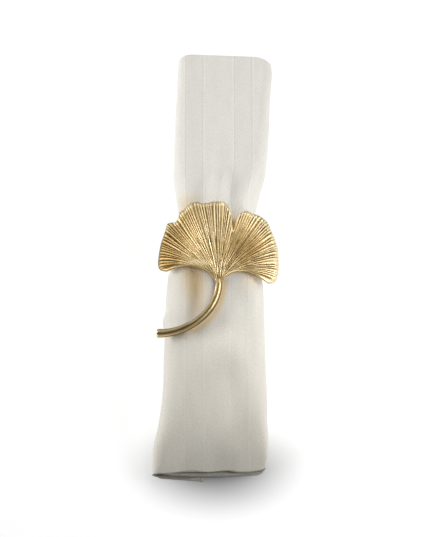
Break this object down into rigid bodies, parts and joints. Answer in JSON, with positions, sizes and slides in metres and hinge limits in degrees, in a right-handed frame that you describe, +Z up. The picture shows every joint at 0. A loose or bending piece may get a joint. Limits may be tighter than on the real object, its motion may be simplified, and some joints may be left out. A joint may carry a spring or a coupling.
{
  "type": "napkin in a leaf napkin ring",
  "caption": "Dinner napkin rolled flat and drawn through a round ring that carries a cast ginkgo leaf and stem.",
  "frame": {"origin": "under the middle of the whole part's box, on the table", "axes": "+Y along the roll, from its open hemmed end to its folded end; +X to the right with the leaf on top and its stem towards -Y; +Z up"},
  "size_m": [0.0702, 0.2568, 0.0457],
  "materials": {
    "napkin_cloth": "white woven cotton with satin stripes along its length",
    "leaf_brass": "cast, veined and lightly burnished, soft gold",
    "band_brass": "plain satin band in the same soft gold"
  },
  "bodies": {
    "root": {"napkin": "napkin_cloth", "leaf": "leaf_brass", "band": "band_brass"}
  },
  "joints": []
}
